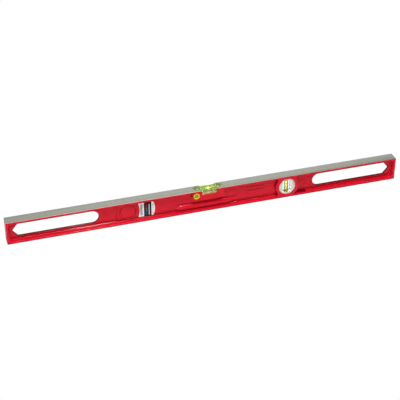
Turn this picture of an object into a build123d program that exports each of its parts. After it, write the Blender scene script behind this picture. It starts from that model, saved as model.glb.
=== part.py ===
"""Cast aluminium mason's level, 1 m long, with a top-read level vial and a round plumb vial."""
from build123d import *
import os

# All sizes are in millimetres. X runs along the beam, -Y is the front face and +Z is up.
# The origin is the centre of the bottom working face.

# Beam: an I-section casting whose top and bottom faces are milled flat
LENGTH = 1000.0
DEPTH = 27.0
HEIGHT = 60.0
MID_HEIGHT = HEIGHT / 2
FACE = DEPTH / 2
END_WALL = 5.6
FLANGE_EDGE = 4.5
DRAFT = 10.0
POCKET_HEIGHT = HEIGHT - 2 * FLANGE_EDGE
END_WEB = 5.0
MIDDLE_WEB = 8.5
WEB_FACE = MIDDLE_WEB / 2
END_POCKET_FILLET = 2.2
MIDDLE_POCKET_FILLET = 1.2
POCKET_CORNER = 12.0
PAD_END = 231.0
PAD_END_RADIUS = 120.0
MILLED_CHAMFER = 0.3
END_FILLET = 0.5
MOUTH_FILLET = 0.8

# Hand-hold slots: round towards the middle, pointed towards the ends
SLOT_HEIGHT = 32.0
SLOT_INNER = 276.0
SLOT_SHOULDER = 471.5
SLOT_TIP = 485.0
SLOT_TIP_RADIUS = 4.5
SLOT_SHOULDER_RADIUS = 3.0
SLOT_EDGE_FILLET = 1.4

# Cast details on the web
RIB_LEFT = -88.0
RIB_RIGHT = 83.0
RIB_RADIUS = 7.9
RIB_HEIGHT = 5.0
RIB_Z = 15.0
RIB_LEFT_POINT = 18.0
RIB_RIGHT_POINT = 40.0
GROOVE_RADIUS = 2.4
GROOVE_Z = 24.0
GROOVE_LEFT_POINT = 26.0
GROOVE_RIGHT_POINT = 16.0
BLANK_X = -204.4
BLANK_RADIUS = 19.3
BLANK_GROOVE = 1.7
BAR_HEIGHT = 2.4
BAR_DEPTH = 0.8
BAR_LEFT = 97.0
BAR_RIGHT = 144.0
BAR_GAP = 2.0
BAR_ROWS = (33.5, 43.5)

# Recess in the lower flange, beside the plumb boss
RECESS_LEFT = 235.5
RECESS_RIGHT = 257.5
RECESS_FRONT = -10.2
RECESS_FLOOR = 3.2
RECESS_TOP = 9.2
RECESS_CORNER = 1.5

# Vial seat: the thick block below the top flange that carries the level vial
SEAT_LEFT = -43.8
SEAT_RIGHT = 38.0
SEAT_BOTTOM = 33.0
SEAT_LEFT_CORNER = 13.0
SEAT_RIGHT_CORNER = 5.0
NOTCH_HALF = 19.4
NOTCH_FLOOR = 47.6
LEFT_EAR_X = -28.2
RIGHT_EAR_X = 25.6
EARS = (LEFT_EAR_X, RIGHT_EAR_X)
EAR_POCKET_RADIUS = 10.0
LEFT_LEDGE = 53.6
RIGHT_LEDGE = 54.0

# Level vial: an acrylic block with two round ears
BLOCK_HALF = 19.0
BLOCK_DEPTH = 24.0
BLOCK_BOTTOM = 48.3
BLOCK_TOP = 58.4
EAR_RADIUS = 9.5
EAR_BOTTOM = 54.1
EAR_TOP = 59.6
EAR_COUNTERBORE = 4.7
EAR_COUNTERBORE_FLOOR = 56.5
EAR_HOLE = 2.3
BRIDGE_HALF = 3.5
BRIDGE_OVERLAP = 2.0
BORE_Z = 53.5
BORE_RADIUS = 4.0
BORE_LEFT = -17.0
PLUG_LENGTH = 2.4
RING_X = 6.8
RING_WIDTH = 0.6
RING_DEPTH = 0.3
BUBBLE_LENGTH = 12.4
BUBBLE_BOTTOM = 54.9
BUBBLE_GAP = 0.08

# Vial screws, washers and the spring under the left head
SCREW_RADIUS = 2.0
SCREW_TIP = 43.5
HEAD_RADIUS = 3.8
HEAD_TOP = 59.5
HEAD_EDGE = 0.7
WASHER_RADIUS = 4.2
WASHER_THICKNESS = 0.5
LEFT_WASHER_Z = 56.95
RIGHT_WASHER_Z = 56.6
SPRING_THICKNESS = 0.3
CROSS_LENGTH = 4.2
CROSS_WIDTH = 1.0
CROSS_DEPTH = 1.2

# Adjuster: a slotted knob whose eccentric pin lifts the fork under the left ear
ADJUSTER_X = -33.0
ADJUSTER_Z = 46.0
KNOB_RADIUS = 7.8
KNOB_CLEARANCE = 0.1
KNOB_FACE = -13.3
KNOB_BACK = -10.4
KNOB_DISH_RADIUS = 5.6
KNOB_DISH_DEPTH = 1.6
COIN_SLOT_WIDTH = 2.2
COIN_SLOT_FLOOR = -11.0
SHAFT_RADIUS = 2.6
SHAFT_BACK = 0.9
RUNNING_GAP = 0.05
ECCENTRICITY = 0.4
PIN_RADIUS = 1.5
PIN_BACK = 5.0
TAIL_RADIUS = 1.0
TAIL_BACK = 12.1
CLIP_FACE = 10.6
CLIP_THICKNESS = 0.5
CLIP_RADIUS = 2.6
CLIP_GROOVE_RADIUS = 0.7
CLIP_RECESS_RADIUS = 4.5
CLIP_RECESS_FLOOR = 10.5
SEAL_Y = -8.0
SEAL_TUBE = 0.68
SEAL_MAJOR = 1.95
FORK_LEFT = -34.6
FORK_RIGHT = -30.6
FORK_FRONT = 1.5
FORK_BACK = 4.7
FORK_BOTTOM = 43.0
FORK_SLOT_END = -31.5
FORK_CAVITY_GAP = 0.4
FORK_CAVITY_SIDE = 0.8

# Plumb vial: a round housing in two halves that holds an upright acrylic block
PLUMB_X = 204.4
BOSS_RADIUS = 30.0
BOSS_BLEND = 6.0
BOSS_BLEND_WIDTH = 80.0
HOUSING_RADIUS = 22.5
HOUSING_GAP = 0.03
HOUSING_FACE = 10.8
HOUSING_CHAMFER = 0.8
WINDOW_WIDTH = 24.6
WINDOW_HEIGHT = 35.6
WINDOW_CORNER = 3.5
PLUMB_BLOCK_WIDTH = 26.0
PLUMB_BLOCK_HEIGHT = 37.0
PLUMB_BLOCK_CORNER = 4.0
PLUMB_BLOCK_FACE = 8.8
PLUMB_CAVITY_GAP = 0.05
PLUMB_BORE = 5.3
PLUMB_BORE_TOP = 13.5
PLUMB_PLUG_LENGTH = 8.0
PLUMB_BUBBLE_LENGTH = 7.5
PLUMB_BUBBLE_RADIUS = 4.3
PLUMB_CHANNEL_RADIUS = 4.4
PEG_X = 17.6
PEG_Z = 7.0
PEG_RADIUS = 1.6
PEG_LENGTH = 4.0

# Label on the web, left of the vial
LABEL_LEFT = -178.9
LABEL_RIGHT = -136.7
LABEL_HEIGHT = 38.5
LABEL_MIDDLE = 28.4
LABEL_THICKNESS = 0.15
LABEL_NOTCH = 4.0
LABEL_BULGE = 4.5
LABEL_CORNER = 1.5


def prism(outline, y_low, y_high):
    """Extrude an outline drawn in X and Z between two depths."""
    return extrude(Plane.XZ.offset(-y_low) * outline, amount=-(y_high - y_low))


def y_rod(x, z, radius, y_low, y_high, seam=0):
    """Round rod along Y; seam turns the line where its side closes, in degrees."""
    return prism(Pos(x, z) * Rot(0, 0, seam) * Circle(radius), y_low, y_high)


def z_rod(x, y, radius, z_low, z_high):
    """Round rod along Z."""
    return extrude(Plane.XY.offset(z_low) * Pos(x, y) * Circle(radius), amount=z_high - z_low)


def x_rod(y, z, radius, x_low, x_high):
    """Round rod along X."""
    return extrude(Plane.YZ.offset(x_low) * Pos(y, z) * Circle(radius), amount=x_high - x_low)


def brick(x_low, x_high, y_low, y_high, z_low, z_high):
    """Square-edged block between six planes."""
    size = (x_high - x_low, y_high - y_low, z_high - z_low)
    centre = ((x_low + x_high) / 2, (y_low + y_high) / 2, (z_low + z_high) / 2)
    return Pos(*centre) * Box(*size)


def both_sides(tool):
    """A feature on the back of the web, with its mirror image on the front."""
    return [tool, mirror(tool, about=Plane.XZ)]


def pocket_tool(outline, web, floor_fillet):
    """Drafted pocket, cut from the back face down to the web."""
    mouth = Plane.XZ.offset(-FACE) * outline
    tool = extrude(mouth, amount=FACE - web / 2, taper=DRAFT)
    floor = tool.faces().sort_by(Axis.Y)[0]
    return fillet(floor.edges(), floor_fillet)


def end_pocket(side):
    """Deeper pocket around one hand-hold; side is -1 for the left end and 1 for the right."""
    outer = LENGTH / 2 - END_WALL
    width = outer - PAD_END + PAD_END_RADIUS / 4
    centre = side * (outer - width / 2)
    outline = Pos(centre, MID_HEIGHT) * RectangleRounded(width, POCKET_HEIGHT, POCKET_CORNER)
    outline -= Pos(side * (PAD_END - PAD_END_RADIUS), MID_HEIGHT) * Circle(PAD_END_RADIUS)
    return pocket_tool(outline, END_WEB, END_POCKET_FILLET)


def middle_pocket():
    """Pocket between the two hand-holds."""
    outline = Pos(0, MID_HEIGHT) * Rectangle(2 * PAD_END + 8, POCKET_HEIGHT)
    return pocket_tool(outline, MIDDLE_WEB, MIDDLE_POCKET_FILLET)


def slot_outline(side):
    """Hand-hold outline in X and Z."""
    half = SLOT_HEIGHT / 2
    centre = side * (SLOT_INNER + half)
    corners = [
        (centre, half),
        (side * SLOT_SHOULDER, half),
        (side * SLOT_TIP, 0),
        (side * SLOT_SHOULDER, -half),
        (centre, -half),
    ]
    outline = make_face(Polyline(*corners, close=True))
    tip = outline.vertices().sort_by(Axis.X)[-1 if side > 0 else 0]
    outline = fillet(tip, SLOT_TIP_RADIUS)
    shoulders = [v for v in outline.vertices() if abs(abs(v.X) - SLOT_SHOULDER) < 0.01]
    outline = fillet(shoulders, SLOT_SHOULDER_RADIUS)
    return Pos(0, MID_HEIGHT) * (outline + Pos(centre, 0) * Circle(half))


def spindle(x_left, x_right, radius, left_point, right_point):
    """Rod along X that narrows in an arc to a point at each end."""
    left = TangentArc((x_left + left_point, radius), (x_left, 0), tangent=(-1, 0))
    top = Line((x_left + left_point, radius), (x_right - right_point, radius))
    right = TangentArc((x_right - right_point, radius), (x_right, 0), tangent=(1, 0))
    axis = Line((x_left, 0), (x_right, 0))
    return revolve(make_face([left, top, right, axis]), Axis.X)


def web_rib():
    """Long pointed rib along the foot of the web."""
    rod = spindle(RIB_LEFT, RIB_RIGHT, RIB_RADIUS, RIB_LEFT_POINT, RIB_RIGHT_POINT)
    return Pos(0, WEB_FACE + RIB_HEIGHT - RIB_RADIUS, RIB_Z) * rod


def rib_groove():
    """Groove that undercuts the web just above the rib."""
    rod = spindle(RIB_LEFT, RIB_RIGHT, GROOVE_RADIUS, GROOVE_LEFT_POINT, GROOVE_RIGHT_POINT)
    return Pos(0, WEB_FACE, GROOVE_Z) * rod


def blank_groove():
    """Ring groove that marks the unused second plumb position."""
    return Pos(BLANK_X, WEB_FACE, MID_HEIGHT) * Rot(90, 0, 0) * Torus(BLANK_RADIUS, BLANK_GROOVE)


def sunk_bars():
    """Two rows of plain sunk bars on the front of the web."""
    width = (BAR_RIGHT - BAR_LEFT - BAR_GAP) / 2
    bars = []
    for z in BAR_ROWS:
        for x in (BAR_LEFT + width / 2, BAR_RIGHT - width / 2):
            outline = Pos(x, z) * SlotOverall(width, BAR_HEIGHT)
            bars.append(prism(outline, -WEB_FACE - BAR_DEPTH, -WEB_FACE + BAR_DEPTH))
    return bars


def vial_seat():
    """Thick block that carries the level vial and the adjuster."""
    top = HEIGHT - FLANGE_EDGE / 2
    outline = Rectangle(SEAT_RIGHT - SEAT_LEFT, top - SEAT_BOTTOM)
    outline = Pos((SEAT_LEFT + SEAT_RIGHT) / 2, (top + SEAT_BOTTOM) / 2) * outline
    low = outline.vertices().group_by(Axis.Y)[0].sort_by(Axis.X)
    outline = fillet(low[0], SEAT_LEFT_CORNER)
    low = outline.vertices().group_by(Axis.Y)[0].sort_by(Axis.X)
    outline = fillet(low[-1], SEAT_RIGHT_CORNER)
    return prism(outline, -FACE, FACE)


def boss_blend():
    """Rounded corners between the plumb boss and both flanges, a little below the faces."""
    outline = Pos(PLUMB_X, MID_HEIGHT) * Circle(BOSS_RADIUS)
    strip = Rectangle(BOSS_BLEND_WIDTH, FLANGE_EDGE)
    outline += Pos(PLUMB_X, FLANGE_EDGE / 2) * strip
    outline += Pos(PLUMB_X, HEIGHT - FLANGE_EDGE / 2) * strip
    crooks = []
    for vertex in outline.vertices():
        on_pocket_edge = abs(abs(vertex.Y - MID_HEIGHT) - POCKET_HEIGHT / 2) < 0.01
        if on_pocket_edge and abs(vertex.X - PLUMB_X) < BOSS_RADIUS:
            crooks.append(vertex)
    return prism(fillet(crooks, BOSS_BLEND), -FACE + MOUTH_FILLET, FACE - MOUTH_FILLET)


def fork_cavity():
    """Space for the fork that hangs from the vial's left ear."""
    return brick(
        FORK_LEFT - FORK_CAVITY_SIDE,
        FORK_RIGHT + FORK_CAVITY_GAP,
        FORK_FRONT - FORK_CAVITY_GAP,
        FORK_BACK + FORK_CAVITY_GAP,
        FORK_BOTTOM - 2 * FORK_CAVITY_GAP,
        HEIGHT,
    ) & z_rod(LEFT_EAR_X, 0, EAR_POCKET_RADIUS + FORK_CAVITY_GAP, FORK_BOTTOM - 1, LEFT_LEDGE + 1)


def flange_recess():
    """Small recess in the top of the lower flange, beside the plumb boss."""
    recess = brick(RECESS_LEFT, RECESS_RIGHT, RECESS_FRONT, -END_WEB / 2, RECESS_FLOOR, RECESS_TOP)
    return fillet(recess.edges().filter_by(Axis.Z), RECESS_CORNER)


def seat_cuts():
    """Everything machined into the seat: notch, ear pockets, screw holes and adjuster bores."""
    cuts = [
        brick(-NOTCH_HALF, NOTCH_HALF, -FACE - 1, FACE + 1, NOTCH_FLOOR, HEIGHT + 1),
        z_rod(LEFT_EAR_X, 0, EAR_POCKET_RADIUS, LEFT_LEDGE, HEIGHT + 1),
        z_rod(RIGHT_EAR_X, 0, EAR_POCKET_RADIUS, RIGHT_LEDGE, HEIGHT + 1),
        fork_cavity(),
        y_rod(ADJUSTER_X, ADJUSTER_Z, KNOB_RADIUS + KNOB_CLEARANCE, -FACE - 1, KNOB_BACK + 0.1),
        y_rod(ADJUSTER_X, ADJUSTER_Z, SHAFT_RADIUS + RUNNING_GAP, -FACE, FORK_FRONT),
        y_rod(ADJUSTER_X, ADJUSTER_Z, TAIL_RADIUS + RUNNING_GAP, FORK_FRONT, FACE),
        y_rod(ADJUSTER_X, ADJUSTER_Z, CLIP_RECESS_RADIUS, CLIP_RECESS_FLOOR, FACE + 1),
    ]
    for x in EARS:
        cuts.append(z_rod(x, 0, SCREW_RADIUS, SCREW_TIP - 1, HEIGHT))
    return cuts


def bar():
    """Milled bar that the casting's outline comes from."""
    block = brick(-LENGTH / 2, LENGTH / 2, -FACE, FACE, 0, HEIGHT)
    block = fillet(block.edges().filter_by(Axis.Z), END_FILLET)
    rims = block.edges().group_by(Axis.Z)
    return chamfer(rims[0] + rims[-1], MILLED_CHAMFER)


def slot_rims(body):
    """Edges where the hand-hold slots break through the web."""
    rims = []
    for edge in body.edges():
        box = edge.bounding_box()
        on_web = abs(abs(box.min.Y) - END_WEB / 2) < 0.01 and box.size.Y < 0.01
        above = box.min.Z > MID_HEIGHT - SLOT_HEIGHT / 2 - 0.01
        below = box.max.Z < MID_HEIGHT + SLOT_HEIGHT / 2 + 0.01
        near = min(abs(box.min.X), abs(box.max.X))
        far = max(abs(box.min.X), abs(box.max.X))
        if on_web and above and below and near > SLOT_INNER - 0.01 and far < SLOT_TIP:
            rims.append(edge)
    return rims


def mouth_rims(body):
    """Edges where the pockets open into the front and back faces."""
    rims = []
    for edge in body.edges():
        box = edge.bounding_box()
        on_face = abs(abs(box.min.Y) - FACE) < 0.01 and box.size.Y < 0.01
        clear_of_milled = box.min.Z > MILLED_CHAMFER + 0.1 and box.max.Z < HEIGHT - MILLED_CHAMFER - 0.1
        clear_of_ends = max(abs(box.min.X), abs(box.max.X)) < LENGTH / 2 - END_WALL + 0.1
        if on_face and clear_of_milled and clear_of_ends:
            rims.append(edge)
    return rims


def beam():
    """Cast body with its milled faces, pockets, slots, boss and seat."""
    body = bar()
    body -= both_sides(middle_pocket())
    for side in (-1, 1):
        body -= both_sides(end_pocket(side))
        body -= prism(slot_outline(side), -FACE, FACE)
    body += vial_seat()
    body += y_rod(PLUMB_X, MID_HEIGHT, BOSS_RADIUS, -FACE, FACE)
    body = fillet(mouth_rims(body), MOUTH_FILLET)
    body += boss_blend()
    body = fillet(slot_rims(body), SLOT_EDGE_FILLET)
    body -= both_sides(rib_groove())
    body -= both_sides(blank_groove())
    body += both_sides(web_rib())
    body -= sunk_bars()
    body -= flange_recess()
    bore = y_rod(PLUMB_X, MID_HEIGHT, HOUSING_RADIUS, -FACE, FACE, seam=45)
    body -= bore
    return body - seat_cuts()


def level_vial_block():
    """Clear block with a bore along X, two screw ears and the adjuster fork."""
    block = brick(-BLOCK_HALF, BLOCK_HALF, -BLOCK_DEPTH / 2, BLOCK_DEPTH / 2, BLOCK_BOTTOM, BLOCK_TOP)
    block = fillet(block.edges().filter_by(Axis.X), 1.0)
    inside = BLOCK_HALF - BRIDGE_OVERLAP
    block += brick(LEFT_EAR_X, -inside, -BRIDGE_HALF, BRIDGE_HALF, EAR_BOTTOM, BLOCK_TOP)
    block += brick(inside, RIGHT_EAR_X, -BRIDGE_HALF, BRIDGE_HALF, EAR_BOTTOM, BLOCK_TOP)
    for x in EARS:
        block += z_rod(x, 0, EAR_RADIUS, EAR_BOTTOM, EAR_TOP)
    block += brick(FORK_LEFT, FORK_RIGHT, FORK_FRONT, FORK_BACK, FORK_BOTTOM, EAR_BOTTOM + 1)
    slot_half = PIN_RADIUS + RUNNING_GAP
    block -= brick(
        FORK_LEFT - 1, FORK_SLOT_END, FORK_FRONT, FORK_BACK, ADJUSTER_Z - slot_half, ADJUSTER_Z + slot_half
    )
    for x in EARS:
        block -= z_rod(x, 0, EAR_COUNTERBORE, EAR_COUNTERBORE_FLOOR, HEIGHT)
        block -= z_rod(x, 0, EAR_HOLE, EAR_BOTTOM, HEIGHT)
    block -= x_rod(0, BORE_Z, BORE_RADIUS, BORE_LEFT, BLOCK_HALF)
    block -= level_rings()
    return block


def level_rings():
    """Two graduation rings let into the wall of the level bore."""
    rings = []
    for x in (-RING_X, RING_X):
        low = x - RING_WIDTH / 2
        high = x + RING_WIDTH / 2
        outer = x_rod(0, BORE_Z, BORE_RADIUS + RING_DEPTH, low, high)
        rings.append(outer - x_rod(0, BORE_Z, BORE_RADIUS, low, high))
    return rings


def level_plug():
    """Plug that closes the right end of the level bore."""
    return x_rod(0, BORE_Z, BORE_RADIUS, BLOCK_HALF - PLUG_LENGTH, BLOCK_HALF)


def level_liquid():
    """Liquid in the level bore, with the channel that the bubble runs along."""
    liquid = x_rod(0, BORE_Z, BORE_RADIUS, BORE_LEFT, BLOCK_HALF - PLUG_LENGTH)
    channel_floor = BUBBLE_BOTTOM - BUBBLE_GAP
    return liquid - brick(BORE_LEFT, BLOCK_HALF, -BORE_RADIUS, BORE_RADIUS, channel_floor, HEIGHT)


def level_bubble():
    """Bubble that rests against the top of the level bore."""
    half = BUBBLE_LENGTH / 2
    bubble = x_rod(0, BORE_Z, BORE_RADIUS - BUBBLE_GAP, -half, half)
    bubble &= brick(-half, half, -BORE_RADIUS, BORE_RADIUS, BUBBLE_BOTTOM, HEIGHT)
    return fillet(bubble.edges().filter_by(GeomType.LINE, reverse=True), 1.0)


def vial_screws():
    """Two pan-head screws that hold the level vial by its ears."""
    screws = []
    for x, head_z in zip(EARS, (LEFT_WASHER_Z, RIGHT_WASHER_Z)):
        head_bottom = head_z + WASHER_THICKNESS
        head = z_rod(x, 0, HEAD_RADIUS, head_bottom, HEAD_TOP)
        head = fillet(head.edges().group_by(Axis.Z)[-1], HEAD_EDGE)
        screw = head + z_rod(x, 0, SCREW_RADIUS, SCREW_TIP, head_bottom)
        for length, width in ((CROSS_LENGTH, CROSS_WIDTH), (CROSS_WIDTH, CROSS_LENGTH)):
            recess = Pos(x, 0, HEAD_TOP - CROSS_DEPTH / 2) * Box(length, width, CROSS_DEPTH)
            screw -= recess
        screws.append(screw)
    return screws


def washer(x, z, thickness):
    """Flat ring around a vial screw."""
    ring = z_rod(x, 0, WASHER_RADIUS, z, z + thickness)
    return ring - z_rod(x, 0, SCREW_RADIUS, z, z + thickness)


def vial_washers():
    """One plain washer under each screw head."""
    return [washer(x, z, WASHER_THICKNESS) for x, z in zip(EARS, (LEFT_WASHER_Z, RIGHT_WASHER_Z))]


def vial_spring_washer():
    """Spring washer that keeps the left ear pressed down on its fork."""
    return washer(LEFT_EAR_X, LEFT_WASHER_Z - SPRING_THICKNESS, SPRING_THICKNESS)


def adjuster_knob():
    """Slotted knob, shaft, eccentric pin and tail, turned as one piece."""
    knob = y_rod(ADJUSTER_X, ADJUSTER_Z, KNOB_RADIUS, KNOB_FACE, KNOB_BACK)
    knob = fillet(knob.edges().group_by(Axis.Y)[0], 0.7)
    knob -= y_rod(ADJUSTER_X, ADJUSTER_Z, KNOB_DISH_RADIUS, KNOB_FACE, KNOB_FACE + KNOB_DISH_DEPTH)
    coin_slot = Rot(0, 0, 45) * Rectangle(2 * KNOB_DISH_RADIUS, COIN_SLOT_WIDTH)
    coin_slot = Pos(ADJUSTER_X, ADJUSTER_Z) * coin_slot
    knob -= prism(coin_slot, KNOB_FACE, COIN_SLOT_FLOOR)
    knob += y_rod(ADJUSTER_X, ADJUSTER_Z, SHAFT_RADIUS, KNOB_BACK, SHAFT_BACK)
    knob += y_rod(ADJUSTER_X - ECCENTRICITY, ADJUSTER_Z, PIN_RADIUS, SHAFT_BACK, PIN_BACK)
    knob += y_rod(ADJUSTER_X, ADJUSTER_Z, TAIL_RADIUS, PIN_BACK, TAIL_BACK)
    knob -= adjuster_seal()
    return knob - adjuster_clip()


def adjuster_seal():
    """Rubber ring in a groove of the adjuster shaft, which also holds the setting by friction."""
    return Pos(ADJUSTER_X, SEAL_Y, ADJUSTER_Z) * Rot(90, 0, 0) * Torus(SEAL_MAJOR, SEAL_TUBE)


def adjuster_clip():
    """Retaining clip on the tail of the adjuster, open on one side."""
    clip = y_rod(ADJUSTER_X, ADJUSTER_Z, CLIP_RADIUS, CLIP_FACE, CLIP_FACE + CLIP_THICKNESS)
    clip -= y_rod(ADJUSTER_X, ADJUSTER_Z, CLIP_GROOVE_RADIUS, CLIP_FACE, CLIP_FACE + CLIP_THICKNESS)
    mouth = Pos(ADJUSTER_X, ADJUSTER_Z - CLIP_RADIUS / 2) * Rectangle(2 * CLIP_GROOVE_RADIUS, CLIP_RADIUS)
    return clip - prism(mouth, CLIP_FACE, CLIP_FACE + CLIP_THICKNESS)


def plumb_outline(width, height, corner):
    """Rounded upright rectangle centred on the plumb vial."""
    return Pos(PLUMB_X, MID_HEIGHT) * RectangleRounded(width, height, corner)


def housing_half(y_face):
    """One half of the round housing, without its pegs; y_face is its outer face."""
    radius = HOUSING_RADIUS - HOUSING_GAP
    y_low = min(0, y_face)
    y_high = max(0, y_face)
    half = y_rod(PLUMB_X, MID_HEIGHT, radius, y_low, y_high)
    rim = half.edges().sort_by(Axis.Y)[-1 if y_face > 0 else 0]
    half = chamfer(rim, HOUSING_CHAMFER)
    half -= prism(plumb_outline(WINDOW_WIDTH, WINDOW_HEIGHT, WINDOW_CORNER), y_low, y_high)
    gap = 2 * PLUMB_CAVITY_GAP
    cavity = plumb_outline(PLUMB_BLOCK_WIDTH + gap, PLUMB_BLOCK_HEIGHT + gap, PLUMB_BLOCK_CORNER)
    reach = PLUMB_BLOCK_FACE + PLUMB_CAVITY_GAP
    return half - prism(cavity, max(y_low, -reach), min(y_high, reach))


def housing_pegs():
    """Pegs that join the two housing halves."""
    pegs = []
    for x in (-PEG_X, PEG_X):
        for z in (-PEG_Z, PEG_Z):
            pegs.append(y_rod(PLUMB_X + x, MID_HEIGHT + z, PEG_RADIUS, 0, PEG_LENGTH))
    return pegs


def plumb_housing_front():
    """Front half of the housing, with the pegs."""
    return housing_half(-HOUSING_FACE) + housing_pegs()


def plumb_housing_rear():
    """Rear half of the housing, with the peg holes."""
    return housing_half(HOUSING_FACE) - housing_pegs()


def plumb_vial_block():
    """Clear block with an upright bore."""
    outline = plumb_outline(PLUMB_BLOCK_WIDTH, PLUMB_BLOCK_HEIGHT, PLUMB_BLOCK_CORNER)
    block = prism(outline, -PLUMB_BLOCK_FACE, PLUMB_BLOCK_FACE)
    foot = MID_HEIGHT - PLUMB_BLOCK_HEIGHT / 2
    block -= z_rod(PLUMB_X, 0, PLUMB_BORE, foot, MID_HEIGHT + PLUMB_BORE_TOP)
    return block - plumb_rings()


def plumb_rings():
    """Two graduation rings let into the wall of the plumb bore."""
    rings = []
    for z in (-RING_X, RING_X):
        low = MID_HEIGHT + z - RING_WIDTH / 2
        high = low + RING_WIDTH
        outer = z_rod(PLUMB_X, 0, PLUMB_BORE + RING_DEPTH, low, high)
        rings.append(outer - z_rod(PLUMB_X, 0, PLUMB_BORE, low, high))
    return rings


def plumb_plug():
    """Plug that closes the foot of the plumb bore."""
    foot = MID_HEIGHT - PLUMB_BLOCK_HEIGHT / 2
    return z_rod(PLUMB_X, 0, PLUMB_BORE, foot, foot + PLUMB_PLUG_LENGTH)


def plumb_liquid():
    """Liquid in the plumb bore, with the channel that the bubble runs along."""
    foot = MID_HEIGHT - PLUMB_BLOCK_HEIGHT / 2 + PLUMB_PLUG_LENGTH
    top = MID_HEIGHT + PLUMB_BORE_TOP
    liquid = z_rod(PLUMB_X, 0, PLUMB_BORE, foot, top)
    return liquid - z_rod(PLUMB_X, 0, PLUMB_CHANNEL_RADIUS, foot + 0.5, top)


def plumb_bubble():
    """Bubble at the top of the plumb bore."""
    top = MID_HEIGHT + PLUMB_BORE_TOP - BUBBLE_GAP
    bubble = z_rod(PLUMB_X, 0, PLUMB_BUBBLE_RADIUS, top - PLUMB_BUBBLE_LENGTH, top)
    return fillet(bubble.edges().filter_by(GeomType.CIRCLE), 2.5)


def label():
    """Thin film label with a hollow left edge and a bulging right edge."""
    half = LABEL_HEIGHT / 2
    shoulder = LABEL_RIGHT - LABEL_BULGE
    top = Line((LABEL_LEFT, half), (shoulder, half))
    right = ThreePointArc((shoulder, half), (LABEL_RIGHT, 0), (shoulder, -half))
    bottom = Line((shoulder, -half), (LABEL_LEFT, -half))
    left = ThreePointArc((LABEL_LEFT, -half), (LABEL_LEFT + LABEL_NOTCH, 0), (LABEL_LEFT, half))
    outline = make_face([top, right, bottom, left])
    outline = fillet(outline.vertices(), LABEL_CORNER)
    return prism(Pos(0, LABEL_MIDDLE) * outline, -WEB_FACE - LABEL_THICKNESS, -WEB_FACE)


PARTS = {
    "beam": beam,
    "label": label,
    "level_vial_block": level_vial_block,
    "level_rings": level_rings,
    "level_plug": level_plug,
    "level_liquid": level_liquid,
    "level_bubble": level_bubble,
    "vial_screws": vial_screws,
    "vial_washers": vial_washers,
    "vial_spring_washer": vial_spring_washer,
    "adjuster_knob": adjuster_knob,
    "adjuster_seal": adjuster_seal,
    "adjuster_clip": adjuster_clip,
    "plumb_housing_front": plumb_housing_front,
    "plumb_housing_rear": plumb_housing_rear,
    "plumb_vial_block": plumb_vial_block,
    "plumb_rings": plumb_rings,
    "plumb_plug": plumb_plug,
    "plumb_liquid": plumb_liquid,
    "plumb_bubble": plumb_bubble,
}

os.makedirs("parts", exist_ok=True)
for name, make in PARTS.items():
    shape = make()
    if isinstance(shape, list):
        shape = Compound(children=shape)
    export_step(shape, f"parts/{name}.step")
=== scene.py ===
"""Looks of the cast aluminium mason's level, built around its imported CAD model. Lengths are in metres."""
import math

import bmesh
import bpy
from mathutils import Matrix, Vector


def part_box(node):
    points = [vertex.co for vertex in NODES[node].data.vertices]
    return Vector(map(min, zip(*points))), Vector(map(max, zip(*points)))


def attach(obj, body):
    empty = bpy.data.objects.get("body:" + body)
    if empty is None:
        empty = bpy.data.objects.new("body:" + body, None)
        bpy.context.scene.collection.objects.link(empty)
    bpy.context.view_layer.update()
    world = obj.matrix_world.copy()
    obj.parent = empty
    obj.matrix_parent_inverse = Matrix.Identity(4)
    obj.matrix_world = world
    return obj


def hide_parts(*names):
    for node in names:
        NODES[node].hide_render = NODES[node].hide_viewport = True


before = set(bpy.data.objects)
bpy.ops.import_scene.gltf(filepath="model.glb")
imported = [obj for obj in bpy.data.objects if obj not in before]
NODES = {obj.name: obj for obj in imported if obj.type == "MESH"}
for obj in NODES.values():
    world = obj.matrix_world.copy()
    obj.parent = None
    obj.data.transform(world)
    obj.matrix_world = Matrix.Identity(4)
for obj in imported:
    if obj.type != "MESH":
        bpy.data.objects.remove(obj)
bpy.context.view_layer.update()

MM = 0.001
LOW, HIGH = (Vector(corner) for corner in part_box("beam"))
CENTRE = (LOW + HIGH) / 2
TOP = HIGH.z

# Camera
AZIMUTH = math.radians(-17.474)
ELEVATION = math.radians(32.484)
DISTANCE = 2.7892
LENS = 101.865
AIM_RIGHT = -0.01958
AIM_DOWN = 0.00692

# Painted shade on the casting, where real light would hardly reach
OFF_ENDS = 497 * MM
LIP_INSIDE = 11.5 * MM
FOOT_LOW, FOOT_HIGH, FOOT_SHADE = 5 * MM, 17 * MM, 0.72
SLOT_WALL, SLOT_START, SLOT_SHADE = 2.42 * MM, 270 * MM, 0.95
RECESS_BOX = ((235.6 * MM, 257.4 * MM), (-10.4 * MM, -4 * MM), (2.9 * MM, 9.3 * MM))
RING_REACH = 23 * MM

# Milled metal
MILLED_DEPTH = 0.42 * MM
CUTTER_RADIUS = 32 * MM
CUTTER_PITCH = 1.1 * MM

# Level vial: distances below the top face, and from the middle of the bubble
PALE_FOOT = 8.6 * MM
BROWN_LOW, BROWN_HIGH = 7.6 * MM, 2.6 * MM
EAR_START, EAR_END = 19 * MM, 24 * MM

# Studio
FLOOR_HALF = 6.0
FLOOR_GAP = 0.2 * MM
WORLD_LIGHT = 0.25
LAMPS = (
    # name, location, size, power, glossy rays only
    ("key", (0.05, -0.30, 2.6), 1.4, 62, False),
    ("glint", (0.10, -1.0, 2.3), 0.28, 20, False),
    ("fill", (-1.2, -1.6, 0.5), 1.0, 9, False),
    ("sparkle", (0.10, -1.0, 2.3), 0.22, 60, True),
)


# ---------------------------------------------------------------- shader helpers

def new_material(name):
    """Empty node material and its tree."""
    material = bpy.data.materials.new(name)
    material.use_nodes = True
    material.node_tree.nodes.clear()
    return material, material.node_tree


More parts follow.
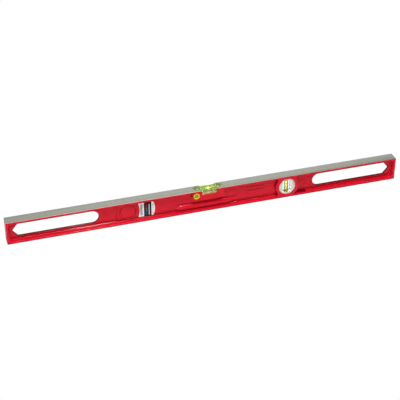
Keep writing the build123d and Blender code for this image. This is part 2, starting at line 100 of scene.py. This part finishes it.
def add(tree, kind, inputs=None, **settings):
    """Add a shader node, set its options and fill or link its inputs."""
    node = tree.nodes.new("ShaderNode" + kind)
    for key, value in settings.items():
        setattr(node, key, value)
    for key, value in (inputs or {}).items():
        if isinstance(value, bpy.types.NodeSocket):
            tree.links.new(value, node.inputs[key])
        else:
            node.inputs[key].default_value = value
    return node


def maths(tree, operation, first, second=0.0, third=0.0):
    """Result of a maths node."""
    return add(tree, "Math", {0: first, 1: second, 2: third}, operation=operation).outputs[0]


def mix(tree, factor, first, second):
    """Mix of two colours."""
    node = add(tree, "Mix", data_type="RGBA")
    for socket, value in ((node.inputs[0], factor), (node.inputs[6], first), (node.inputs[7], second)):
        if isinstance(value, bpy.types.NodeSocket):
            tree.links.new(value, socket)
        else:
            socket.default_value = value
    return node.outputs[2]


def noise(tree, vector, scale, detail=2.0, roughness=0.5):
    """Noise value from 0 to 1."""
    inputs = {"Vector": vector, "Scale": scale, "Detail": detail, "Roughness": roughness}
    return add(tree, "TexNoise", inputs).outputs[0]


def spread(tree, value, low, high):
    """Value from 0 to 1 spread between two limits."""
    return add(tree, "MapRange", {"Value": value, "To Min": low, "To Max": high}).outputs[0]


def ramp(tree, value, low, high, at_low=0.0, at_high=1.0):
    """Value that runs from at_low to at_high while its input runs from low to high."""
    inputs = {"Value": value, "From Min": low, "From Max": high, "To Min": at_low, "To Max": at_high}
    return add(tree, "MapRange", inputs).outputs[0]


def openness(tree, reach):
    """1 in the open, falling to 0 in corners narrower than the reach."""
    return add(tree, "AmbientOcclusion", {"Distance": reach}, samples=8).outputs["AO"]


def edges(tree, radius):
    """1 along sharp edges, 0 on open faces."""
    soft = add(tree, "Bevel", {"Radius": radius}, samples=8).outputs[0]
    sharp = add(tree, "NewGeometry").outputs["Normal"]
    match = add(tree, "VectorMath", {0: soft, 1: sharp}, operation="DOT_PRODUCT").outputs["Value"]
    return ramp(tree, match, 0.99, 0.84)


def scaled(base, share):
    """Colour darkened to a share of itself."""
    return tuple(share * channel for channel in base[:3]) + (1.0,)


def band(tree, value, start, end):
    """1 between two limits, else 0."""
    above = maths(tree, "GREATER_THAN", value, start)
    return maths(tree, "MULTIPLY", above, maths(tree, "LESS_THAN", value, end))


def face_direction(tree):
    """The three parts of the direction that a face looks in."""
    return add(tree, "SeparateXYZ", {0: add(tree, "NewGeometry").outputs["True Normal"]}).outputs


def distance(tree, across, up):
    """Length of an offset in the plane of the web."""
    offset = add(tree, "CombineXYZ", {0: across, 1: up}).outputs[0]
    return add(tree, "VectorMath", {0: offset}, operation="LENGTH").outputs["Value"]


def seen_directly(tree):
    """1 for camera rays and rays through clear pieces, 0 for light on the level."""
    path = add(tree, "LightPath").outputs
    return maths(tree, "MAXIMUM", path["Is Camera Ray"], path["Is Transmission Ray"])


def place(tree):
    """Object coordinates, whole and split."""
    vector = add(tree, "TexCoord").outputs["Object"]
    return vector, add(tree, "SeparateXYZ", {0: vector}).outputs


def bump(tree, height, distance, strength=1.0, normal=None):
    """Normal bent by a height in metres times distance."""
    inputs = {"Height": height, "Distance": distance, "Strength": strength}
    if normal is not None:
        inputs["Normal"] = normal
    return add(tree, "Bump", inputs).outputs[0]


def finish_surface(tree, shader):
    """Link a shader to the material output."""
    add(tree, "OutputMaterial", {"Surface": shader})


def colour(red, green, blue):
    """Linear RGBA from screen values of 0 to 255."""
    def linear(value):
        value /= 255
        return value / 12.92 if value <= 0.04045 else ((value + 0.055) / 1.055) ** 2.4
    return (linear(red), linear(green), linear(blue), 1.0)


# ---------------------------------------------------------------- materials

def ring_shade(tree, x, z):
    """How dark corners go around the blank ring: lighter at its upper left, deeper at its lower right."""
    low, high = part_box("plumb_housing_front")
    blank_x = -(low.x + high.x) / 2
    across = maths(tree, "SUBTRACT", x, blank_x)
    up = maths(tree, "SUBTRACT", z, CENTRE.z)
    slant = maths(tree, "SUBTRACT", maths(tree, "MULTIPLY", across, 0.7), maths(tree, "MULTIPLY", up, 0.7))
    share = ramp(tree, slant, -4 * MM, 14 * MM, 0.15, 1.5)
    near = maths(tree, "LESS_THAN", distance(tree, across, up), RING_REACH)
    return maths(tree, "ADD", 1.0, maths(tree, "MULTIPLY", near, maths(tree, "SUBTRACT", share, 1.0)))


def recess_shade(tree, x, y, z):
    """Deep shade in the small recess in the lower flange, on both its floor and its back wall."""
    inside = 1.0
    for value, (start, end) in zip((x, y, z), RECESS_BOX):
        inside = maths(tree, "MULTIPLY", inside, band(tree, value, start, end))
    return inside


def painted_casting():
    """Glossy red paint on rough casting, with milled bare metal on the top and bottom faces; painted shade
    darkens the paint in corners, at the web's foot, on the slot walls, in the flange recess and around the
    blank ring.
    """
    material, tree = new_material("painted_casting")
    vector, (x, y, z) = place(tree)
    rounded = add(tree, "Bevel", {"Radius": 0.4 * MM}, samples=4).outputs[0]
    facing = face_direction(tree)[2]
    upright = ramp(tree, maths(tree, "ABSOLUTE", facing), 0.3, 0.9, 1.0, 0.12)

    paint = mix(tree, noise(tree, vector, 9, 3), colour(212, 12, 38), colour(226, 16, 46))
    blotches = maths(tree, "MULTIPLY", noise(tree, vector, 70, 4, 0.7), 0.3)
    paint = mix(tree, blotches, paint, colour(196, 10, 32))
    # Painted shade: corners, the web's foot, the slot walls, the flange recess and the blank ring's edge go
    # dark red
    tight = ramp(tree, openness(tree, 3.2 * MM), 0.30, 0.90, 0.95, 0.0)
    broad = ramp(tree, openness(tree, 14 * MM), 0.25, 0.72, 0.60, 0.0)
    shade = maths(tree, "MULTIPLY", maths(tree, "MAXIMUM", tight, broad), upright)
    shade = maths(tree, "MULTIPLY", shade, ring_shade(tree, x, z))
    from_centre = maths(tree, "ABSOLUTE", x)
    off_ends = maths(tree, "LESS_THAN", from_centre, OFF_ENDS)
    inside = maths(tree, "LESS_THAN", maths(tree, "ABSOLUTE", y), LIP_INSIDE)
    inside = maths(tree, "MULTIPLY", maths(tree, "MULTIPLY", inside, off_ends), upright)
    foot = maths(tree, "MULTIPLY", ramp(tree, z, FOOT_LOW, FOOT_HIGH, FOOT_SHADE, 0.0), inside)
    wall = maths(tree, "LESS_THAN", maths(tree, "ABSOLUTE", y), SLOT_WALL)
    wall = maths(tree, "MULTIPLY", wall, maths(tree, "GREATER_THAN", from_centre, SLOT_START))
    wall = maths(tree, "MULTIPLY", maths(tree, "MULTIPLY", wall, off_ends), SLOT_SHADE)
    for dark in (foot, wall, recess_shade(tree, x, y, z)):
        shade = maths(tree, "MAXIMUM", shade, dark)
    paint = mix(tree, shade, paint, colour(74, 4, 10))
    cast = noise(tree, vector, 420, 3, 0.6)
    peel = noise(tree, vector, 1500, 2)
    height = maths(tree, "ADD", cast, maths(tree, "MULTIPLY", peel, 0.25))
    paint_normal = bump(tree, height, 0.10 * MM, 0.5, rounded)
    paint_rough = spread(tree, noise(tree, vector, 150, 2), 0.30, 0.42)
    paint_shader = add(tree, "BsdfPrincipled", {
        "Base Color": paint,
        "Roughness": paint_rough,
        "Normal": paint_normal,
        "Coat Weight": 0.35,
        "Coat Roughness": 0.10,
        "Specular IOR Level": 0.05,
    }).outputs[0]

    cutter = maths(tree, "SQRT", maths(tree, "SUBTRACT", CUTTER_RADIUS ** 2, maths(tree, "MULTIPLY", y, y)))
    sweep = maths(tree, "ADD", x, cutter)
    marks = maths(tree, "SINE", maths(tree, "MULTIPLY", sweep, 2 * math.pi / CUTTER_PITCH))
    along = add(tree, "CombineXYZ", {0: sweep, 1: maths(tree, "MULTIPLY", y, 0.06)})
    streak = noise(tree, along.outputs[0], 240, 4, 0.6)
    passes = noise(tree, along.outputs[0], 26, 3, 0.6)
    bare = mix(tree, streak, colour(150, 152, 143), colour(188, 190, 180))
    bare = mix(tree, maths(tree, "MULTIPLY", passes, 0.30), bare, colour(116, 118, 109))
    # Painted shade on the milled metal: darker towards the right end and the front, and towards the left
    # end, as the light falls across the top face
    along_bar = ramp(tree, x, LOW.x, HIGH.x)
    front_half = ramp(tree, y, LOW.y, HIGH.y, 1.0, 0.0)
    right_front_shade = maths(tree, "MULTIPLY", maths(tree, "MULTIPLY", along_bar, along_bar), front_half)
    bare = mix(tree, maths(tree, "MULTIPLY", right_front_shade, 0.75), bare, colour(98, 98, 90))
    bare = mix(tree, ramp(tree, along_bar, 0.0, 0.5, 0.5, 0.0), bare, colour(108, 110, 103))
    bare_height = maths(tree, "ADD", maths(tree, "MULTIPLY", marks, 0.3), streak)
    bare_shader = add(tree, "BsdfPrincipled", {
        "Base Color": bare,
        "Metallic": 0.3,
        "Roughness": spread(tree, streak, 0.36, 0.52),
        "Normal": bump(tree, bare_height, 0.02 * MM, 0.5),
        "Anisotropic": 0.4,
    }).outputs[0]

    flat = maths(tree, "GREATER_THAN", maths(tree, "ABSOLUTE", facing), 0.6)
    from_mid = maths(tree, "ABSOLUTE", maths(tree, "SUBTRACT", z, CENTRE.z))
    outside = maths(tree, "GREATER_THAN", from_mid, TOP / 2 - MILLED_DEPTH)
    milled = maths(tree, "MULTIPLY", flat, outside)
    finish_surface(tree, add(tree, "MixShader", {0: milled, 1: paint_shader, 2: bare_shader}).outputs[0])
    return material


def plastic(name, base, roughness, glow=0.0, grain=0.04):
    """Moulded plastic with fine grain, slight mottling and painted shade in its corners."""
    material, tree = new_material(name)
    vector, _ = place(tree)
    mottle = noise(tree, vector, 260, 3)
    tone = mix(tree, mottle, scaled(base, 0.86), base)
    # Painted shade: corners go darker
    corner = ramp(tree, openness(tree, 2 * MM), 0.3, 0.9, 0.6, 0.0)
    tone = mix(tree, corner, tone, scaled(base, 0.35))
    inputs = {
        "Base Color": tone,
        "Roughness": spread(tree, noise(tree, vector, 900, 2), roughness * 0.8, roughness * 1.2),
        "Normal": bump(tree, noise(tree, vector, 2200, 2), grain * MM, 0.6),
        "Emission Color": tone,
        "Emission Strength": glow,
    }
    finish_surface(tree, add(tree, "BsdfPrincipled", inputs).outputs[0])
    return material


def clear(name, tint, ior, roughness=0.02, glow=0.0, ripple=0.004):
    """Clear tinted solid, such as acrylic or liquid, with a faint ripple in its surface."""
    material, tree = new_material(name)
    vector, _ = place(tree)
    swirl = noise(tree, vector, 180, 2)
    deeper = tuple(channel ** 1.15 for channel in tint[:3]) + (1.0,)
    tone = mix(tree, swirl, deeper, tint)
    inputs = {
        "Base Color": tone,
        "Roughness": spread(tree, noise(tree, vector, 700, 2), roughness * 0.6, roughness * 1.4),
        "IOR": ior,
        "Transmission Weight": 1.0,
        "Normal": bump(tree, swirl, ripple * MM, 0.4),
        "Emission Color": tint,
        "Emission Strength": glow,
    }
    finish_surface(tree, add(tree, "BsdfPrincipled", inputs).outputs[0])
    return material


def vial_acrylic():
    """Clear green acrylic with glowing edges and a brown band on its long sides, where the bore shows."""
    material, tree = new_material("green_acrylic")
    vector, (x, _, z) = place(tree)
    swirl = noise(tree, vector, 240, 3)
    glass = add(tree, "BsdfPrincipled", {
        "Base Color": mix(tree, swirl, (0.76, 0.94, 0.54, 1), (0.84, 0.97, 0.66, 1)),
        "Roughness": spread(tree, swirl, 0.01, 0.05),
        "IOR": 1.49,
        "Transmission Weight": 1.0,
        "Normal": bump(tree, swirl, 0.004 * MM, 0.4),
    }).outputs[0]
    green = mix(tree, swirl, colour(88, 176, 58), colour(128, 204, 82))
    low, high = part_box("level_bubble")
    from_middle = maths(tree, "ABSOLUTE", maths(tree, "SUBTRACT", x, (low.x + high.x) / 2))
    ear = mix(tree, swirl, colour(70, 158, 48), colour(108, 172, 72))
    green = mix(tree, ramp(tree, from_middle, EAR_START, EAR_END), green, ear)
    pale = mix(tree, swirl, colour(176, 178, 120), colour(206, 204, 150))
    foot = TOP - PALE_FOOT
    tone = mix(tree, ramp(tree, z, foot - 0.6 * MM, foot), pale, green)
    rim = add(tree, "BsdfPrincipled", {
        "Base Color": tone,
        "Roughness": 0.35,
        "Emission Color": tone,
        "Emission Strength": 0.10,
    }).outputs[0]
    _, toward_back, upward = face_direction(tree)
    # Painted light: the edges and top faces take the glowing green finish, as light gathered in the acrylic
    top = maths(tree, "MULTIPLY", ramp(tree, upward, 0.7, 0.95), 0.42)
    share = maths(tree, "MAXIMUM", top, maths(tree, "MULTIPLY", edges(tree, 1.2 * MM), 0.9))
    surface = add(tree, "MixShader", {0: share, 1: glass, 2: rim}).outputs[0]
    brown = add(tree, "BsdfPrincipled", {
        "Base Color": mix(tree, swirl, colour(126, 84, 48), colour(156, 112, 66)),
        "Roughness": 0.2,
    }).outputs[0]
    sides = maths(tree, "MULTIPLY", ramp(tree, maths(tree, "ABSOLUTE", toward_back), 0.7, 0.95), 0.6)
    tinted = maths(tree, "MULTIPLY", band(tree, z, TOP - BROWN_LOW, TOP - BROWN_HIGH), sides)
    finish_surface(tree, add(tree, "MixShader", {0: tinted, 1: surface, 2: brown}).outputs[0])
    return material


def knob_plastic():
    """Bright yellow plastic, with painted shade down in the dish and its slot and in its corners."""
    material, tree = new_material("yellow_plastic")
    vector, (x, _, z) = place(tree)
    low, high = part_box("adjuster_knob")
    middle = (low + high) / 2
    across = maths(tree, "SUBTRACT", x, middle.x)
    up = maths(tree, "SUBTRACT", z, middle.z)
    radius = distance(tree, across, up)
    bright = mix(tree, noise(tree, vector, 260, 3), colour(226, 234, 6), colour(238, 246, 20))
    # Painted shade: olive yellow down in the dish and its slot, and darker still in corners
    dish_shade = mix(tree, noise(tree, vector, 420, 3), colour(152, 160, 20), colour(186, 194, 40))
    outer = (high.x - low.x) / 2
    tone = mix(tree, ramp(tree, radius, 0.66 * outer, 0.76 * outer), dish_shade, bright)
    tone = mix(tree, ramp(tree, openness(tree, 2.5 * MM), 0.30, 0.85, 0.7, 0.0), tone, colour(84, 82, 10))
    inputs = {
        "Base Color": tone,
        "Roughness": spread(tree, noise(tree, vector, 900, 2), 0.30, 0.42),
        "Normal": bump(tree, noise(tree, vector, 2200, 2), 0.04 * MM, 0.6),
        "Specular IOR Level": 0.3,
    }
    finish_surface(tree, add(tree, "BsdfPrincipled", inputs).outputs[0])
    return material


def plated_steel(name, base, roughness):
    """Plated steel with light scuffs."""
    material, tree = new_material(name)
    vector, _ = place(tree)
    scuff = noise(tree, vector, 1400, 3, 0.7)
    inputs = {
        "Base Color": mix(tree, scuff, scaled(base, 0.7), base),
        "Metallic": 1.0,
        "Roughness": spread(tree, scuff, roughness * 0.7, roughness * 1.3),
        "Normal": bump(tree, scuff, 0.02 * MM, 0.6),
    }
    finish_surface(tree, add(tree, "BsdfPrincipled", inputs).outputs[0])
    return material


def printed_label():
    """Generic printed film: white ends with grey rules, a black panel with dots, patches and bars."""
    material, tree = new_material("printed_label")
    vector, (x, _, z) = place(tree)
    low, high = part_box("label")
    along = maths(tree, "DIVIDE", maths(tree, "SUBTRACT", x, low.x), high.x - low.x)
    up = maths(tree, "DIVIDE", maths(tree, "SUBTRACT", z, low.z), high.z - low.z)

    def patch(left, right, bottom, top):
        """1 inside a rectangle of the label."""
        return maths(tree, "MULTIPLY", band(tree, along, left, right), band(tree, up, bottom, top))

    def stripes(value, count, share):
        """1 on count stripes over the label, each covering a share of its pitch."""
        return maths(tree, "LESS_THAN", maths(tree, "FRACT", maths(tree, "MULTIPLY", value, count)), share)

    tone = mix(tree, noise(tree, vector, 300, 3), colour(238, 240, 242), colour(250, 250, 252))
    grey = maths(tree, "MULTIPLY", patch(0.11, 0.25, 0.10, 0.92), stripes(up, 15, 0.72))
    tone = mix(tree, grey, tone, colour(96, 98, 104))
    tone = mix(tree, patch(0.335, 0.785, 0.0, 1.0), tone, colour(4, 3, 5))
    dots = maths(tree, "MULTIPLY", patch(0.415, 0.46, 0.08, 0.80), stripes(up, 21, 0.50))
    tone = mix(tree, dots, tone, colour(96, 98, 104))
    tone = mix(tree, patch(0.475, 0.53, 0.06, 0.26), tone, colour(30, 92, 150))
    tone = mix(tree, patch(0.475, 0.53, 0.30, 0.62), tone, colour(104, 112, 120))
    tone = mix(tree, patch(0.475, 0.53, 0.66, 0.92), tone, colour(152, 40, 62))
    bars = maths(tree, "MULTIPLY", patch(0.615, 0.685, 0.06, 0.86), stripes(up, 9, 0.86))
    tone = mix(tree, bars, tone, colour(202, 206, 200))
    rules = maths(tree, "MULTIPLY", patch(0.845, 0.905, 0.14, 0.86), stripes(up, 8, 0.40))
    tone = mix(tree, rules, tone, colour(150, 152, 154))
    inputs = {
        "Base Color": tone,
        "Roughness": spread(tree, noise(tree, vector, 500, 2), 0.30, 0.42),
        "Specular IOR Level": 0.12,
        "Normal": bump(tree, noise(tree, vector, 260, 2), 0.05 * MM, 0.4),
    }
    finish_surface(tree, add(tree, "BsdfPrincipled", inputs).outputs[0])
    return material


# ---------------------------------------------------------------- pieces that stand for a CAD node

def lathe(name, profile, place_at, steps=48):
    """Closed surface of revolution about Z from (radius, height) points that start and end on the axis."""
    mesh = bpy.data.meshes.new(name)
    shape = bmesh.new()
    rings = []
    for radius, height in profile[1:-1]:
        ring = []
        for step in range(steps):
            turn = 2 * math.pi * step / steps
            ring.append(shape.verts.new((radius * math.cos(turn), radius * math.sin(turn), height)))
        rings.append(ring)
    first = shape.verts.new((0, 0, profile[0][1]))
    last = shape.verts.new((0, 0, profile[-1][1]))
    for step in range(steps):
        after = (step + 1) % steps
        shape.faces.new((first, rings[0][after], rings[0][step]))
        shape.faces.new((last, rings[-1][step], rings[-1][after]))
        for low, high in zip(rings, rings[1:]):
            shape.faces.new((low[step], low[after], high[after], high[step]))
    bmesh.ops.recalc_face_normals(shape, faces=shape.faces)
    shape.transform(place_at)
    shape.to_mesh(mesh)
    shape.free()
    mesh.polygons.foreach_set("use_smooth", [True] * len(mesh.polygons))
    piece = bpy.data.objects.new(name, mesh)
    bpy.context.scene.collection.objects.link(piece)
    return piece


def rounded_profile(radius, length, corner, steps=8):
    """Profile of a rod along Z, centred on the origin, with rounded ends."""
    points = [(0, -length / 2)]
    for step in range(steps + 1):
        turn = math.pi / 2 * step / steps
        height = -length / 2 + corner - corner * math.cos(turn)
        points.append((radius - corner + corner * math.sin(turn), height))
    upper = [(r, -h) for r, h in reversed(points)]
    return points + upper


def level_fill():
    """Liquid in the level bore: a full rod, so that the bubble shows inside it."""
    low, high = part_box("level_liquid")
    length = high.x - low.x
    radius = (high.y - low.y) / 2
    middle = Matrix.Translation(((low.x + high.x) / 2, 0, low.z + radius))
    profile = rounded_profile(radius * 0.995, length * 0.995, 0.6 * MM)
    return lathe("level_fill", profile, middle @ Matrix.Rotation(math.pi / 2, 4, "Y"))


def plumb_fill():
    """Liquid in the plumb bore."""
    low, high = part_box("plumb_liquid")
    centre = (low + high) / 2
    radius = (high.x - low.x) / 2
    profile = rounded_profile(radius * 0.995, (high.z - low.z) * 0.995, 0.8 * MM)
    return lathe("plumb_fill", profile, Matrix.Translation(centre))


def level_bubble_lens():
    """Long flattened bubble against the top of the level bore."""
    low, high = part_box("level_bubble")
    centre = (low + high) / 2
    size = high - low
    profile = rounded_profile(size.x / 2, size.x, size.x / 2 * 0.98, 12)
    flat = Matrix.Diagonal((1.0, 0.86 * size.y / size.x, 0.88 * size.z / size.x, 1.0))
    return lathe("level_bubble_lens", profile, Matrix.Translation(centre) @ flat)


def plumb_bubble_lens():
    """Bubble at the top of the plumb bore, domed below where it meets the liquid."""
    low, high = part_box("plumb_bubble")
    centre = (low + high) / 2
    radius = (high.x - low.x) / 2
    profile = rounded_profile(radius * 0.98, (high.z - low.z) * 0.98, radius * 0.7, 12)
    return lathe("plumb_bubble_lens", profile, Matrix.Translation(centre))


def dress(node, material):
    """Give a CAD node its material."""
    mesh = NODES[node].data
    mesh.materials.clear()
    mesh.materials.append(material)


def stand_in(piece, node, body, material):
    """A piece that stands for a CAD node and rides with its body."""
    piece.data.materials.append(material)
    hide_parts(node)
    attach(piece, body)


# The fluids glow a little and the bubbles glow brightly: painted light standing in for the light they
# gather
green_fluid = clear("green_fluid", (0.74, 0.92, 0.36, 1), 1.40, glow=0.06)
yellow_fluid = clear("yellow_fluid", (0.78, 0.76, 0.12, 1), 1.40, glow=0.16)
vapour = clear("vapour", (1.0, 0.80, 0.98, 1), 1.02, glow=1.9)
plumb_vapour = clear("plumb_vapour", (0.95, 0.95, 0.62, 1), 1.02, glow=0.30)
black_print = plastic("black_print", colour(16, 16, 16), 0.5)
zinc = plated_steel("zinc_plate", colour(206, 208, 192), 0.48)
spring = plated_steel("spring_steel", colour(120, 116, 110), 0.36)
white_plastic = plastic("white_plastic", colour(232, 230, 220), 0.42)
dress("beam", painted_casting())
dress("label", printed_label())
dress("level_vial_block", vial_acrylic())
dress("level_rings", black_print)
dress("level_plug", plastic("green_plug", colour(96, 190, 70), 0.3))
dress("vial_screws", zinc)
dress("vial_washers", zinc)
dress("vial_spring_washer", spring)
dress("adjuster_knob", knob_plastic())
dress("adjuster_seal", plastic("black_rubber", colour(20, 20, 20), 0.7))
dress("adjuster_clip", spring)
dress("plumb_housing_front", white_plastic)
dress("plumb_housing_rear", white_plastic)
dress("plumb_vial_block", clear("clear_acrylic", (0.97, 0.985, 0.96, 1), 1.49))
dress("plumb_rings", black_print)
dress("plumb_plug", plastic("yellow_plug", colour(206, 204, 60), 0.35))
stand_in(level_fill(), "level_liquid", "level_vial", green_fluid)
stand_in(plumb_fill(), "plumb_liquid", "body", yellow_fluid)
stand_in(level_bubble_lens(), "level_bubble", "level_bubble", vapour)
stand_in(plumb_bubble_lens(), "plumb_bubble", "plumb_bubble", plumb_vapour)


# ---------------------------------------------------------------- studio

def floor():
    """Plain pale floor just under the level."""
    mesh = bpy.data.meshes.new("studio_floor")
    corners = [(FLOOR_HALF * x, FLOOR_HALF * y, 0) for x, y in ((-1, -1), (1, -1), (1, 1), (-1, 1))]
    mesh.from_pydata(corners, [], [(0, 1, 2, 3)])
    ground = bpy.data.objects.new("studio_floor", mesh)
    ground.location.z = LOW.z - FLOOR_GAP
    bpy.context.scene.collection.objects.link(ground)
    material, tree = new_material("studio_floor")
    vector, _ = place(tree)
    grain = noise(tree, vector, 3, 2)
    seen = mix(tree, grain, (1.0, 1.0, 1.0, 1), (1.02, 1.02, 1.02, 1))
    bounced = mix(tree, grain, (0.55, 0.55, 0.55, 1), (0.60, 0.60, 0.60, 1))
    plain = add(tree, "Emission", {"Color": seen}).outputs[0]
    matte = add(tree, "BsdfDiffuse", {"Color": bounced}).outputs[0]
    finish_surface(tree, add(tree, "MixShader", {0: seen_directly(tree), 1: matte, 2: plain}).outputs[0])
    mesh.materials.append(material)


def soft_light(name, location, size, power, only_glossy):
    """Square softbox aimed at the middle of the level; it can light only the glossy reflections."""
    data = bpy.data.lights.new(name, "AREA")
    data.size = size
    data.energy = power
    lamp = bpy.data.objects.new(name, data)
    lamp.location = location
    lamp.rotation_euler = (CENTRE - Vector(location)).to_track_quat("-Z", "Y").to_euler()
    lamp.visible_diffuse = not only_glossy
    lamp.visible_transmission = not only_glossy
    bpy.context.scene.collection.objects.link(lamp)


def studio_world():
    """White surround that lights the level gently."""
    world = bpy.data.worlds.new("studio")
    bpy.context.scene.world = world
    world.use_nodes = True
    tree = world.node_tree
    tree.nodes.clear()
    strength = ramp(tree, seen_directly(tree), 0.0, 1.0, WORLD_LIGHT, 1.0)
    surround = add(tree, "Background", {"Color": (1, 1, 1, 1), "Strength": strength}).outputs[0]
    add(tree, "OutputWorld", {"Surface": surround})


def camera():
    """Camera above and to the left of the front face."""
    data = bpy.data.cameras.new("camera")
    data.lens = LENS
    data.clip_end = 50
    eye = bpy.data.objects.new("camera", data)
    forward = Vector((
        -math.sin(AZIMUTH) * math.cos(ELEVATION),
        math.cos(AZIMUTH) * math.cos(ELEVATION),
        -math.sin(ELEVATION),
    ))
    right = Vector((math.cos(AZIMUTH), math.sin(AZIMUTH), 0))
    down = forward.cross(right)
    aim = CENTRE + AIM_RIGHT * right + AIM_DOWN * down
    turn = Matrix((right, -down, -forward)).transposed().to_4x4()
    eye.matrix_world = Matrix.Translation(aim - DISTANCE * forward) @ turn
    bpy.context.scene.collection.objects.link(eye)
    bpy.context.scene.camera = eye


floor()
studio_world()
for lamp_settings in LAMPS:
    soft_light(*lamp_settings)
camera()
bpy.context.scene.view_settings.view_transform = "Standard"
